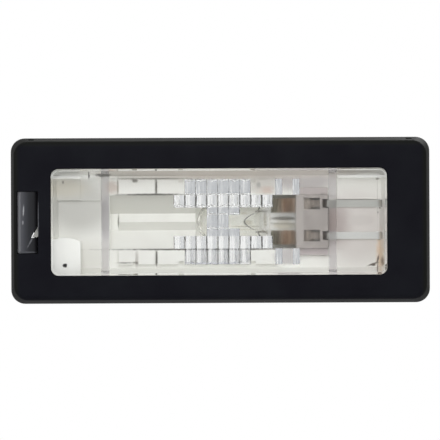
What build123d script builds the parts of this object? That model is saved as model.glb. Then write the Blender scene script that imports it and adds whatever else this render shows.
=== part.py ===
from build123d import *
from math import atan2, degrees, radians, tan
import os

# Number plate lamp that snaps into a cut-out in a car's bodywork. Sizes are in millimetres.
# The lens looks along -Y and +Z is up. The origin is the bezel's centre, on the plane of its seat.
# Heights are counted from that plane towards the viewer, so those behind the bodywork are negative.
# Lengthwise places and levels are counted from the middle of the window, the optical centre.

# Bulb: wedge-base lamp lying along the trough, with its tip to the left
bulb_tip = -5.0
bulb_length = 24.6
bulb_radius = 4.7
glass = 0.6
shoulder = 13.0         # from the tip to where the glass starts to flatten
pinch_length = 3.0      # over which the tube flattens into the wedge
wedge = 2.1
bulb_drop = 3.0         # from the tray's floor down to the bulb's axis
wire = 0.4
wire_spread = 2.3       # from the axis to each lead wire
wire_end = 13.2         # from the tip to the free ends that carry the filament
wire_fold = 0.5         # from the end of the wedge to the wire's fold
wire_return = 4.6       # length of wire folded back on the wedge
seal_gap = 0.03
filament = 0.5
filament_bow = 2.6
filament_gap = 0.15
pinch_rib = 1.2         # thickness of the round rib along the middle of the wedge
pinch_rib_length = 5.5

# Contacts: two stampings, each a bulb clip, a strip and a connector blade
sheet = 0.6
contact_gap = 0.05
contact_offset = 3.6    # from the axis to the middle of each clip
clip_width = 3.2
clip_length = 9.0
clip_lip = 0.7
clip_bend = 0.7
strip_width = 1.6
strip_shift = 0.4       # of both strips above the middles of their clips
strip_run = 2.35        # from the end of a clip to where its strip rises to the floor
joggle = 1.0
blade_reach = 10.0      # from the back of the tray to the blade's end

# Holder: block that takes the wedge and the clips
holder_gap = 0.1
holder_cover = 2.3      # overlap on the end of the wedge
holder_wall = 1.8
pocket_gap = 0.2
holder_window = 2.5
holder_rim = 0.25       # from the top of the strips' rise to the holder's end
duct_gap = 0.5          # above a strip, for its rise
outlet = 1.2            # open end of each duct
shoulder_width = 1.6    # ledge on the tray's floor each side of the trough
shoulder_rise = 1.2
holder_rise = 3.0       # of the block above the tray's floor

# Housing: tray, trough, reflector, platforms, pads and connector shroud
housing_wall = 1.8
floor_depth = 2.0       # from the seat plane back to the tray's floor
trough_gap = 1.3
tip_gap = 0.25          # from the trough's left end to the bulb's tip
reflector_margin = 0.1  # from a dividing rib to the reflector's left end
reflector_depth = 4.0   # from the tray's floor to the valleys beside the ridge
reflector_lip = 0.8     # upright edge above each slope
ridge_half = 1.9
ridge_rise = 1.1
platform_inset = 1.9    # from the reflector's left end to the platforms and the ridge
platform_width = 3.55
platform_rise = 1.2
platform_end = 6.4      # bare trough from the platforms' right end to the bulb's end
gutter = 2.4
end_bay = 11.25         # from a dividing rib to the end of the window
tray_margin = 0.4
tray_corner = 2.6
tray_slope = 2.0        # lean of the tray's walls, from the flange to the floor
slit = 0.6
slit_place = 8.5        # from the platforms' left end
notch_length = 1.1
notch_depth = 0.7
notch_places = (3.8, 14.1, 30.2)
pad_width = 7.0
lower_pad_height = 8.9
lower_pad_rise = 4.1
pad_arch = 0.8
upper_pad_foot = 7.4    # from the tray's top wall down to the upper pads' lower edges
upper_pad_rise = 0.9
pad_rib = 0.65          # rib along each upper pad, as high as the lower pad
pad_rib_place = 2.3     # from the tray's top wall
shelf_foot = 7.5        # from the tray's top wall down to the left shelf's lower edge
shelf_rise = 0.5
pit = 0.8               # blind pit in the lower pad
pit_depth = 2.4
pit_inset = 3.5         # from the tray's left wall
pit_level = 2.7         # above the tray's lower wall
flange_thickness = 1.7
flange_reach = 1.6
flange_gap = 0.25
shroud_length = 7.0
shroud_height = 12.4
shroud_wall = 1.5
shroud_corner = 1.4
shroud_depth = 11.0
shroud_inset = 3.0      # from the tray's right wall to the shroud's middle
blade_shift = 1.35      # of the blades towards that wall
blade_hole = 1.5        # length of each blade's hole, which clears the strip's bend
key_width = 2.4
key_depth = 0.9
lock_width = 4.0
lock_rise = 1.0
hook_reach = 4.6
hook_width = 12.0
web = 1.2               # stiffening webs between the trough and the back of the tray
web_height = 4.5
web_places = (2.0, 18.0)
panel = 2.0             # thickness of the bodywork that the hook and the latch grip
grip_gap = 0.15

# Lens
window_corner = 1.7
window_gap = 0.1
lens_plate = 2.0
lens_recess = 0.3
lens_lip = 2.0
lens_skirt = 1.5
lens_bevel = 0.4
rib = 1.8
rib_gap = 0.15
rib_floor_gap = 1.5
flute_pitch = 2.47
flute_first = -10.15    # left edge of the first flute
inner_flutes = range(9)
outer_flutes = range(1, 7)
center_flutes = range(3, 5)
step_flutes = range(5, 6)
inner_apex = 94.0       # angle of the inner flutes' ridges, a little over square
outer_apex = 91.0
lower_apex = 97.0       # of the lower outer row
flute_base = 1.0
outer_base = 0.5
row_inner = 3.2         # from the axis to the inner edge of the inner rows
step_inner = 1.5
center_base = 0.7
bar_places = (12.6, 16.5)   # left edges of the single bars beside the outer rows
bar_width = 1.6

# Latch: spring tongue at the left end
latch = 0.9
latch_width = 14.8
latch_stand = 0.75      # from the housing's outer wall to the fixed leg
latch_span = 4.55       # over both legs
latch_gap = 0.1
latch_bend = 0.6
latch_sink = 0.3        # from the bezel's front face down to the tongue's crest
latch_root = 8.6        # depth of the fixed leg behind the seat plane
latch_tip = 6.2         # depth of the free leg
barb = 1.1
barb_width = 14.4
end_web = 0.8           # bars between the legs at the tongue's ends, behind the bezel's face
end_web_depth = 1.0
nub_top = -0.9          # wedge-shaped nub on the housing, which locks the tongue through a notch
nub_bottom = -3.3
nub_width = 1.25
nub_cover = 0.2         # from the nub up to the bezel's face
rail_wall = 1.2
rail_lip = 1.0

# Bezel
slot_gap = 0.1
slot_height = 14.0
slot_corner = 0.2
slot_wall = 1.45        # left between the slot and the bezel's end
bezel_face = 2.2
bezel_wall = 2.0
bead_depth = 0.6        # from the seat plane to the back of the housing's flange
bead_length = 8.0
bead_spacing = 44.0
bead_height = 0.9
right_border = 9.65
top_border = 6.95
bottom_border = 6.3
bezel_corner = 3.2
end_draft = 0.9         # lean of each end, from the seat to the front
side_draft = 0.9
rim_rounding = 1.3
nick_width = 1.3        # nicks in the top edge, near its ends
nick_depth = 0.5
nick_height = 3.0
nick_base = 1.6         # above the seat plane
nick_inset = 4.65       # from the bezel's ends to the nicks
window_bevel = 0.25

# Lengthwise places from the optical centre
wedge_end = bulb_tip + bulb_length
neck = bulb_tip + shoulder + pinch_length
fold_end = wedge_end + wire_fold + wire
clip_end = fold_end + contact_gap + sheet / 2
holder_left = wedge_end - holder_cover
strip_rise = clip_end + strip_run
holder_right = strip_rise + joggle + holder_rim
rib_offset = holder_right + rib_gap + rib / 2
trough_left = bulb_tip - tip_gap
reflector_left = reflector_margin + rib / 2 - rib_offset
platform_left = reflector_left + platform_inset
trough_right = holder_right + holder_gap
platform_right = wedge_end - platform_end
window_width = 2 * (rib_offset + rib / 2 + end_bay)
tray_width = window_width + 2 * tray_margin
shroud_place = tray_width / 2 - shroud_inset
blade_place = shroud_place + blade_shift

# Levels across, from the bulb's axis
trough_radius = bulb_radius + trough_gap
platform_outer = trough_radius + platform_width
window_height = 2 * (platform_outer + gutter)
tray_height = window_height + 2 * tray_margin

# Heights from the seat plane
flange_front = bead_depth + flange_thickness
lens_seat = flange_front + lens_skirt
bezel_depth = lens_seat + bezel_face
lens_front = bezel_depth - lens_recess
plate_back = lens_front - lens_plate
floor = -floor_depth
tray_back = floor - housing_wall
valley = floor - reflector_depth
holder_top = floor + holder_rise
bulb_height = floor - bulb_drop
leaf_offset = wedge / 2 + wire + contact_gap + sheet / 2
strip_height = floor + sheet / 2
blade_tip = tray_back - blade_reach
grip = -panel - grip_gap

# Bezel's outline, and where the optical centre lies in it
outer_width = tray_width + 2 * housing_wall
outer_height = tray_height + 2 * housing_wall
left_border = tray_margin + housing_wall + latch_stand + latch_span + slot_gap + slot_wall
bezel_width = window_width + left_border + right_border
bezel_height = window_height + top_border + bottom_border
optic_x = (left_border - right_border) / 2
optic_z = (bottom_border - top_border) / 2

seat_plane = Plane.XZ
optic_plane = Plane(origin=(optic_x, 0, optic_z), x_dir=(1, 0, 0), z_dir=(0, -1, 0))


def plan_plane(level):
    """Plane of lengthwise profiles: place along X and height, at a level above the bulb's axis."""
    return Plane(origin=(optic_x, 0, optic_z + level), x_dir=(1, 0, 0), z_dir=(0, 0, -1))


def section_plane(place):
    """Plane of cross sections: level along Z and height, at a place along the lamp."""
    return Plane(origin=(optic_x + place, 0, optic_z), x_dir=(0, 0, 1), z_dir=(1, 0, 0))


def trough_section(place, radius, top):
    """Half-round section about the bulb's axis, with straight sides up to a height."""
    with BuildSketch(section_plane(place)) as section:
        with BuildLine():
            CenterArc((0, bulb_height), radius, 180, 180)
            Polyline((radius, bulb_height), (radius, top), (-radius, top), (-radius, bulb_height))
        make_face()
    return section.sketch


def reflector_section(place, half, top, half_valley, bottom):
    """Section of the reflector, which narrows from a height down to its flat bottom."""
    with BuildSketch(section_plane(place)) as section:
        with BuildLine():
            Polyline(
                (-half, top),
                (half, top),
                (half, top - reflector_lip),
                (half_valley, bottom),
                (-half_valley, bottom),
                (-half, top - reflector_lip),
                close=True,
            )
        make_face()
    return section.sketch


def pad_section(place):
    """Section of an upper pad on the tray's floor, out of its top wall, with the rib along it."""
    wall = tray_height / 2
    with BuildSketch(section_plane(place)) as section:
        with Locations((wall, floor)):
            Rectangle(upper_pad_foot, upper_pad_rise, align=(Align.MAX, Align.MIN))
        with Locations((wall - pad_rib_place, floor)):
            Rectangle(pad_rib, lower_pad_rise, align=(Align.CENTER, Align.MIN))
    return section.sketch


def bezel_size(height):
    """Outer width and height of the drafted bezel at a height above the seat plane."""
    share = height / bezel_depth
    return bezel_width - 2 * end_draft * share, bezel_height - 2 * side_draft * share


def drafted_block(inset, top):
    """Block with the bezel's leaning sides, drawn in by an inset, from the seat plane up to a height."""
    top_width, top_tall = bezel_size(top)
    with BuildPart() as block:
        with BuildSketch(Plane(origin=(0, 0, 0), x_dir=(1, 0, 0), z_dir=(0, 0, -1))):
            with BuildLine():
                Polyline(
                    (inset - bezel_width / 2, 0),
                    (bezel_width / 2 - inset, 0),
                    (top_width / 2 - inset, top),
                    (inset - top_width / 2, top),
                    close=True,
                )
            make_face()
        extrude(amount=bezel_height, both=True)
        with BuildSketch(Plane(origin=(0, 0, 0), x_dir=(0, 0, 1), z_dir=(1, 0, 0))):
            with BuildLine():
                Polyline(
                    (inset - bezel_height / 2, 0),
                    (bezel_height / 2 - inset, 0),
                    (top_tall / 2 - inset, top),
                    (inset - top_tall / 2, top),
                    close=True,
                )
            make_face()
        extrude(amount=bezel_width, both=True, mode=Mode.INTERSECT)
        slanted = block.edges().filter_by(Axis.X, reverse=True).filter_by(Axis.Z, reverse=True)
        fillet(slanted, bezel_corner - inset)
    return block.part


# Bezel: drafted frame, hollow behind, with the lens window, the latch slot and beads that hold the housing
slot_left = -outer_width / 2 - latch_stand - latch_span - slot_gap
slot_right = slot_gap - outer_width / 2 - latch_stand
bead_wall = bezel_height / 2 - bezel_wall
with BuildPart() as bezel:
    add(drafted_block(0, bezel_depth))
    fillet(bezel.faces().sort_by(Axis.Y)[0].edges(), rim_rounding)
    add(drafted_block(bezel_wall, lens_seat), mode=Mode.SUBTRACT)
    with BuildSketch(optic_plane.offset(bezel_depth)):
        RectangleRounded(window_width, window_height, window_corner)
    extrude(amount=-bezel_depth, mode=Mode.SUBTRACT)
    chamfer(bezel.faces().sort_by(Axis.Y)[0].inner_wires().edges(), window_bevel)
    with BuildSketch(optic_plane.offset(bezel_depth)):
        with Locations(((slot_left + slot_right) / 2, 0)):
            RectangleRounded(slot_right - slot_left, slot_height, slot_corner)
    extrude(amount=-bezel_depth, mode=Mode.SUBTRACT)
    with BuildSketch(optic_plane):
        with Locations(((slot_left + slot_right) / 2, 0)):
            Rectangle(slot_right - slot_left, latch_width + 2 * slot_gap)
    extrude(amount=lens_seat, mode=Mode.SUBTRACT)
    for place in (-bead_spacing / 2, bead_spacing / 2):
        with BuildSketch(Plane(origin=(place, 0, 0), x_dir=(0, 0, 1), z_dir=(1, 0, 0))):
            for side in (-1, 1):
                with BuildLine():
                    Polyline(
                        (side * (bead_wall + bezel_wall / 2), bead_depth),
                        (side * (bead_wall - bead_height), bead_depth),
                        (side * (bead_wall + bezel_wall / 2), 0),
                        close=True,
                    )
                make_face()
        extrude(amount=bead_length / 2, both=True)
    with BuildSketch(seat_plane.offset(nick_base)):
        for side in (-1, 1):
            with Locations((side * (bezel_width / 2 - nick_inset), bezel_height / 2)):
                Rectangle(nick_width, 2 * nick_depth)
    extrude(amount=nick_height, mode=Mode.SUBTRACT)


def roofs(lefts, width, level, base, apex):
    """Profile of roof-shaped ridges on the back of the lens, at the level where they start."""
    rise = width / 2 / tan(radians(apex) / 2)
    with BuildSketch(plan_plane(level)) as row:
        for left in lefts:
            right = left + width
            foot = plate_back - base
            with BuildLine():
                Polyline(
                    (right, foot),
                    (right, plate_back),
                    (left, plate_back),
                    (left, foot),
                    ((left + right) / 2, foot - rise),
                    close=True,
                )
            make_face()
    return row.sketch


def flutes(indices, level, base, apex):
    """Profile of neighbouring flutes in the lens's lengthwise pattern."""
    lefts = [flute_first + index * flute_pitch for index in indices]
    return roofs(lefts, flute_pitch, level, base, apex)


# Lens: front plate and flange, dividing ribs, and the flutes that spread the bulb's light
rib_bottom = floor + rib_floor_gap
rib_draw = tray_slope * (flange_front - rib_bottom) / (flange_front - floor)
with BuildPart() as lens:
    with BuildSketch(optic_plane.offset(flange_front)):
        lip_width = window_width + 2 * lens_lip
        lip_height = window_height + 2 * lens_lip
        RectangleRounded(lip_width, lip_height, window_corner + lens_lip)
    extrude(amount=lens_skirt)
    with BuildSketch(optic_plane.offset(lens_seat)):
        RectangleRounded(window_width - 2 * window_gap, window_height - 2 * window_gap, window_corner)
    extrude(amount=lens_front - lens_seat)
    chamfer(lens.faces().sort_by(Axis.Y)[0].edges(), lens_bevel)
    with BuildSketch(optic_plane.offset(flange_front)):
        RectangleRounded(tray_width, tray_height, tray_corner)
    extrude(amount=plate_back - flange_front, mode=Mode.SUBTRACT)
    for place in (-rib_offset, rib_offset):
        with BuildSketch(section_plane(place)):
            with BuildLine():
                Polyline(
                    (-window_height / 2, plate_back),
                    (-window_height / 2, flange_front),
                    (rib_draw + rib_gap - tray_height / 2, rib_bottom),
                    (tray_height / 2 - rib_draw - rib_gap, rib_bottom),
                    (window_height / 2, flange_front),
                    (window_height / 2, plate_back),
                    close=True,
                )
            make_face()
        extrude(amount=rib / 2, both=True)
    for top in (trough_radius, -row_inner):
        extrude(flutes(inner_flutes, top, flute_base, inner_apex), amount=trough_radius - row_inner)
    for top, apex in ((platform_outer, outer_apex), (-trough_radius, lower_apex)):
        extrude(flutes(outer_flutes, top, outer_base, apex), amount=platform_width)
        extrude(roofs(bar_places, bar_width, top, outer_base, outer_apex), amount=platform_width)
    for top in (row_inner, -step_inner):
        extrude(flutes(step_flutes, top, center_base, outer_apex), amount=row_inner - step_inner)
    extrude(flutes(center_flutes, row_inner, center_base, outer_apex), amount=2 * row_inner)

# Housing: flanged tray with the bulb's trough, platforms and pads, and the fixings behind
flange_height = bezel_size(flange_front)[1] - 2 * bezel_wall - 2 * flange_gap
rail_outer = latch_width / 2 + latch_gap + rail_wall
rail_reach = latch_stand + latch + latch_gap
platform_length = platform_right - platform_left
post_depth = latch_root + rail_wall
with BuildPart() as housing:
    with BuildSketch(seat_plane.offset(flange_front)):
        with Locations((optic_x, 0)):
            RectangleRounded(outer_width + 2 * flange_reach, flange_height, tray_corner)
    extrude(amount=-flange_thickness)
    with BuildSketch(optic_plane.offset(bead_depth)):
        with Locations((-outer_width / 2, 0)):
            Rectangle(2 * flange_reach, 2 * rail_outer)
    extrude(amount=flange_thickness, mode=Mode.SUBTRACT)
    with BuildSketch(optic_plane.offset(flange_front)):
        RectangleRounded(outer_width, outer_height, tray_corner + housing_wall)
    extrude(amount=tray_back - flange_front)

    # Shells of the trough and of the reflector beside it, behind the tray
    shell_radius = trough_radius + housing_wall
    shell_section = trough_section(trough_left - housing_wall, shell_radius, tray_back)
    extrude(shell_section, amount=trough_right - trough_left + 2 * housing_wall)
    reflector_back = reflector_section(
        reflector_left - housing_wall,
        shell_radius,
        tray_back,
        ridge_half + housing_wall / 2,
        valley - housing_wall,
    )
    extrude(reflector_back, amount=trough_left - reflector_left + housing_wall)
    tray_taper = degrees(atan2(tray_slope, flange_front - floor))
    with BuildSketch(optic_plane.offset(flange_front)):
        RectangleRounded(tray_width, tray_height, tray_corner)
    extrude(amount=floor - flange_front, taper=tray_taper, mode=Mode.SUBTRACT)

    # Platforms with slits and notches, and the trough and the reflector between them
    platform_level = (platform_outer + trough_radius) / 2
    with BuildSketch(optic_plane.offset(floor)):
        for side in (-1, 1):
            with Locations((platform_left + platform_length / 2, side * platform_level)):
                Rectangle(platform_length, platform_width)
            with Locations((platform_left + slit_place, side * platform_outer)):
                Rectangle(slit, 2 * platform_width, mode=Mode.SUBTRACT)
            for place in notch_places:
                with Locations((platform_left + place, side * platform_outer)):
                    Rectangle(notch_length, 2 * notch_depth, mode=Mode.SUBTRACT)
    extrude(amount=platform_rise)
    hollow_section = trough_section(trough_left, trough_radius, floor)
    extrude(hollow_section, amount=trough_right - trough_left, mode=Mode.SUBTRACT)

    reflector = reflector_section(reflector_left, trough_radius, floor, ridge_half, valley)
    extrude(reflector, amount=trough_left - reflector_left, mode=Mode.SUBTRACT)

    # Roof-shaped ridge along the reflector, up to the bulb's tip
    with BuildSketch(section_plane(platform_left)):
        with BuildLine():
            Polyline(
                (-ridge_half, valley - housing_wall / 2),
                (ridge_half, valley - housing_wall / 2),
                (ridge_half, valley),
                (0, valley + ridge_rise),
                (-ridge_half, valley),
                close=True,
            )
        make_face()
    extrude(amount=trough_left - platform_left)

    # Pads in the bays: a lower one with an arched edge and a blind pit, a shelf, and upper pads with ribs
    pad_right = pad_width - tray_width / 2
    pad_level = lower_pad_height - tray_height / 2
    with BuildSketch(optic_plane.offset(floor)):
        with BuildLine():
            ThreePointArc(
                (-tray_width / 2, pad_level - pad_arch),
                (pad_right - pad_width / 2, pad_level),
                (pad_right, pad_level - pad_arch),
            )
            Polyline(
                (pad_right, pad_level - pad_arch),
                (pad_right, -tray_height / 2),
                (-tray_width / 2, -tray_height / 2),
                (-tray_width / 2, pad_level - pad_arch),
            )
        make_face()
    extrude(amount=lower_pad_rise)
    bay_start = rib_offset + rib / 2 + rib_gap
    bay_length = tray_width / 2 - bay_start
    with BuildSketch(optic_plane.offset(floor)):
        with Locations((-bay_start, tray_height / 2)):
            Rectangle(bay_length, shelf_foot, align=(Align.MAX, Align.MAX))
    extrude(amount=shelf_rise)
    extrude(pad_section(-tray_width / 2), amount=pad_width)
    extrude(pad_section(bay_start), amount=bay_length)
    with BuildSketch(optic_plane.offset(floor + lower_pad_rise)):
        with Locations((pit_inset - tray_width / 2, pit_level - tray_height / 2)):
            Circle(pit / 2)
    extrude(amount=-pit_depth, mode=Mode.SUBTRACT)

    # Connector shroud behind the right bay, keyed inside and with a lock nose on its upper wall
    with BuildSketch(optic_plane.offset(tray_back)):
        with Locations((shroud_place, strip_shift)):
            outer_length = shroud_length + 2 * shroud_wall
            RectangleRounded(outer_length, shroud_height + 2 * shroud_wall, shroud_corner + shroud_wall)
            RectangleRounded(shroud_length, shroud_height, shroud_corner, mode=Mode.SUBTRACT)
        with Locations((shroud_place - shroud_length / 2, strip_shift)):
            Rectangle(2 * key_depth, key_width)
    extrude(amount=-shroud_depth)
    lock_level = strip_shift + shroud_height / 2
    with BuildSketch(section_plane(shroud_place)):
        with BuildLine():
            Polyline(
                (lock_level, tray_back - shroud_depth),
                (lock_level + shroud_wall, tray_back - shroud_depth),
                (lock_level + shroud_wall + lock_rise, tray_back - shroud_depth + 2 * lock_rise),
                (lock_level, tray_back - shroud_depth + 2 * lock_rise),
                close=True,
            )
        make_face()
    extrude(amount=lock_width / 2, both=True)
    hole_end = blade_place + sheet / 2 + contact_gap
    hole_width = strip_width + 2 * contact_gap
    with BuildSketch(optic_plane.offset(floor)):
        for side in (-1, 1):
            with Locations((hole_end, side * contact_offset + strip_shift)):
                Rectangle(blade_hole, hole_width, align=(Align.MAX, Align.CENTER))
    extrude(amount=-housing_wall, mode=Mode.SUBTRACT)

    # Slots in the foot of the tray's right wall, for the ends of the strips
    with BuildSketch(optic_plane.offset(floor)):
        for side in (-1, 1):
            with Locations((hole_end, side * contact_offset + strip_shift)):
                Rectangle(shroud_inset, hole_width, align=(Align.MAX, Align.CENTER))
    extrude(amount=floor_depth, mode=Mode.SUBTRACT)

    # Stiffening webs along the trough's sides
    web_level = trough_radius + housing_wall
    for place in web_places:
        with BuildSketch(section_plane(place)):
            for side in (-1, 1):
                with BuildLine():
                    Polyline(
                        (side * trough_radius, tray_back),
                        (side * (web_level + web_height), tray_back),
                        (side * web_level, tray_back - web_height),
                        (side * trough_radius, tray_back - web_height),
                        close=True,
                    )
                make_face()
        extrude(amount=web / 2, both=True)

    # Fixed hook at the right end, which goes behind the bodywork first
    with BuildSketch(plan_plane(0)):
        with BuildLine():
            Polyline(
                (outer_width / 2 - housing_wall / 2, grip),
                (outer_width / 2 + hook_reach, grip),
                (outer_width / 2 + hook_reach, grip - housing_wall / 3),
                (outer_width / 2, tray_back),
                (outer_width / 2 - housing_wall / 2, tray_back),
                close=True,
            )
        make_face()
    extrude(amount=hook_width / 2, both=True)

    # Post and rails at the left end, which carry the latch's fixed leg, and the nub that locks it
    post = latch_stand - latch_gap + housing_wall
    post_face = housing_wall - outer_width / 2 - post
    with BuildSketch(optic_plane):
        with Locations((post_face, 0)):
            Rectangle(post, 2 * rail_outer, align=(Align.MIN, Align.CENTER))
    extrude(amount=-post_depth)
    with BuildSketch(optic_plane):
        with BuildLine():
            Polyline(
                (latch_gap - outer_width / 2, nub_top),
                (latch_gap - outer_width / 2, nub_bottom),
                (post_face - latch_gap - nub_width, nub_bottom),
                (post_face - latch_gap, nub_top),
                close=True,
            )
        make_face()
    extrude(amount=lens_seat - nub_cover)
    rail_face = -outer_width / 2 - rail_reach
    with BuildSketch(optic_plane):
        for side in (-1, 1):
            with Locations((rail_face, side * (rail_outer - rail_wall / 2))):
                Rectangle(rail_reach + housing_wall, rail_wall, align=(Align.MIN, Align.CENTER))
            with Locations((rail_face, side * (rail_outer - (rail_wall + rail_lip) / 2))):
                Rectangle(rail_wall, rail_wall + rail_lip, align=(Align.MAX, Align.CENTER))
    extrude(amount=-post_depth)
    with BuildSketch(optic_plane.offset(-latch_root)):
        with Locations((-outer_width / 2 + housing_wall / 2, 0)):
            Rectangle(rail_reach + housing_wall / 2, 2 * rail_outer, align=(Align.MAX, Align.CENTER))
    extrude(amount=-rail_wall)

# Latch: tongue folded over at the front, its free leg barbed to grip the bodywork
leg_fixed = -outer_width / 2 - latch_stand - latch / 2
leg_free = -outer_width / 2 - latch_stand - latch_span + latch / 2
crest = bezel_depth - latch_sink - latch / 2
barb_face = leg_free - latch / 2
notch_face = leg_fixed + latch / 2 + latch_gap
with BuildPart() as latch_spring:
    with BuildSketch(plan_plane(0)):
        with BuildLine():
            FilletPolyline(
                (leg_fixed, -latch_root),
                (leg_fixed, crest),
                (leg_free, crest),
                (leg_free, -latch_tip),
                radius=latch_bend,
            )
        trace(line_width=latch)
    extrude(amount=latch_width / 2, both=True)
    with BuildSketch(plan_plane(0)):
        with BuildLine():
            Polyline(
                (barb_face + latch / 2, grip),
                (barb_face - barb, grip),
                (barb_face - barb, grip - barb / 2),
                (barb_face, -latch_tip),
                (barb_face + latch / 2, -latch_tip),
                close=True,
            )
        make_face()
    extrude(amount=barb_width / 2, both=True)

    # Crest drawn in to pass the bezel's slot, and the notch for the housing's nub
    leg_middle = (leg_fixed + leg_free) / 2
    with BuildSketch(optic_plane.offset(lens_seat - slot_gap)):
        with Locations((leg_middle, 0)):
            Rectangle(2 * latch_span, 2 * latch_width)
            Rectangle(2 * latch_span, slot_height - 2 * slot_gap, mode=Mode.SUBTRACT)
    extrude(amount=bezel_face, mode=Mode.SUBTRACT)
    with BuildSketch(optic_plane.offset(lens_seat - slot_gap)):
        for side in (-1, 1):
            with Locations((leg_middle, side * (latch_width - end_web) / 2)):
                Rectangle(latch_span - latch, end_web)
    extrude(amount=-end_web_depth)
    with BuildSketch(optic_plane.offset(bezel_depth)):
        with BuildLine():
            Polyline(
                (notch_face, nub_top + latch_gap),
                (notch_face, nub_bottom - latch_gap),
                (notch_face - 3 * latch_gap - nub_width, nub_bottom - latch_gap),
                (notch_face - 3 * latch_gap, nub_top + latch_gap),
                close=True,
            )
        make_face()
    extrude(amount=-bezel_depth - latch_gap, mode=Mode.SUBTRACT)

# Holder: block seated in the trough and on the tray, with a pocket for the wedge and windows over the clips
pocket_half = contact_offset + clip_width / 2 + pocket_gap
pocket_rise = leaf_offset + sheet / 2 + pocket_gap
keel_radius = trough_radius - holder_gap
window_left = holder_left + holder_wall
window_right = holder_right - holder_wall
duct_floor = bulb_height + leaf_offset - sheet / 2 - pocket_gap
duct_roof = bulb_height + leaf_offset + sheet / 2 + duct_gap
duct_width = strip_width + 2 * pocket_gap
with BuildPart() as bulb_holder:
    extrude(trough_section(holder_left, keel_radius, floor), amount=holder_right - holder_left)
    with BuildSketch(section_plane(holder_left)):
        with Locations((0, floor)):
            Rectangle(2 * trough_radius, holder_rise, align=(Align.CENTER, Align.MIN))
            Rectangle(2 * (trough_radius + shoulder_width), shoulder_rise, align=(Align.CENTER, Align.MIN))
    extrude(amount=holder_right - holder_left)
    with BuildSketch(section_plane(holder_left)):
        with Locations((0, bulb_height)):
            Rectangle(2 * pocket_half, 2 * pocket_rise)
    extrude(amount=clip_end + sheet / 2 + pocket_gap - holder_left, mode=Mode.SUBTRACT)
    with BuildSketch(optic_plane.offset(holder_top)):
        for side in (-1, 1):
            with Locations(((window_left + window_right) / 2, side * contact_offset + strip_shift)):
                Rectangle(window_right - window_left, holder_window)
    extrude(amount=duct_floor - holder_top, mode=Mode.SUBTRACT)
    with BuildSketch(section_plane(holder_right)):
        for side in (-1, 1):
            with Locations((side * contact_offset + strip_shift, (duct_floor + duct_roof) / 2)):
                Rectangle(duct_width, duct_roof - duct_floor)
    extrude(amount=clip_end - holder_right, mode=Mode.SUBTRACT)
    with BuildSketch(optic_plane.offset(holder_top)):
        for side in (-1, 1):
            with Locations((holder_right, side * contact_offset + strip_shift)):
                Rectangle(2 * outlet, duct_width)
    extrude(amount=duct_floor - holder_top, mode=Mode.SUBTRACT)


def ribbon(level, points):
    """Edge view of a strip of sheet bent along a line of points."""
    with BuildSketch(plan_plane(level)) as profile:
        with BuildLine():
            FilletPolyline(*points, radius=clip_bend)
        trace(line_width=sheet)
    return profile.sketch


# Contacts: a clip with flared lips that grips the wedge, and a strip turned down into a blade at its end
leaf_front = bulb_height + leaf_offset
leaf_back = bulb_height - leaf_offset
clip_left = clip_end - clip_length
flare = clip_left + 2 * clip_lip
clip_path = [
    (clip_left, leaf_front + clip_lip),
    (flare, leaf_front),
    (clip_end, leaf_front),
    (clip_end, leaf_back),
    (flare, leaf_back),
    (clip_left, leaf_back - clip_lip),
]
strip_path = [
    (clip_end - 3 * clip_bend, leaf_front),
    (strip_rise, leaf_front),
    (strip_rise + joggle, strip_height),
    (blade_place, strip_height),
    (blade_place, blade_tip),
]


def contact(side):
    """One stamping, above the bulb's axis or below it. Its strip runs a little above its clip's middle."""
    clip_level = side * contact_offset
    with BuildPart() as stamping:
        extrude(ribbon(clip_level, clip_path), amount=clip_width / 2, both=True)
        extrude(ribbon(clip_level + strip_shift, strip_path), amount=strip_width / 2, both=True)
    return stamping.part


with BuildPart() as upper_contact:
    add(contact(1))

with BuildPart() as lower_contact:
    add(contact(-1))


def bulb_form(radius, tip, half_neck, end):
    """Round-ended tube along the bulb's axis, flattened to a neck behind the shoulder."""
    flat_start = bulb_tip + shoulder
    slope_top = 2 * radius - half_neck
    with BuildPart() as form:
        with BuildSketch(plan_plane(0)):
            with BuildLine():
                dome = CenterArc((tip + radius, bulb_height), radius, 90, 90)
                Polyline(dome @ 0, (end, bulb_height + radius), (end, bulb_height), dome @ 1)
            make_face()
        revolve(axis=Axis((optic_x, -bulb_height, optic_z), (1, 0, 0)))
        with BuildSketch(plan_plane(0)):
            for side in (-1, 1):
                with BuildLine():
                    Polyline(
                        (tip - radius, bulb_height),
                        (tip - radius, bulb_height + side * slope_top),
                        (2 * flat_start - neck, bulb_height + side * slope_top),
                        (neck, bulb_height + side * half_neck),
                        (end + radius, bulb_height + side * half_neck),
                        (end + radius, bulb_height),
                        close=True,
                    )
                make_face()
        extrude(amount=2 * radius, both=True, mode=Mode.INTERSECT)
    return form.part


# Glass of the bulb, hollow up to the neck and pierced by the lead wires
with BuildPart() as bulb_envelope:
    add(bulb_form(bulb_radius, bulb_tip, wedge / 2, wedge_end))
    add(bulb_form(bulb_radius - glass, bulb_tip + glass, wedge / 2 - glass, neck), mode=Mode.SUBTRACT)
    with BuildSketch(section_plane(neck - glass)):
        with Locations((-wire_spread, bulb_height), (wire_spread, bulb_height)):
            Circle(wire / 2 + seal_gap)
    extrude(amount=wedge_end - neck + 2 * glass, mode=Mode.SUBTRACT)
    with BuildSketch(section_plane(neck + glass)):
        with Locations((0, bulb_height + wedge / 2)):
            Circle(pinch_rib / 2)
    extrude(amount=pinch_rib_length)

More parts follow.
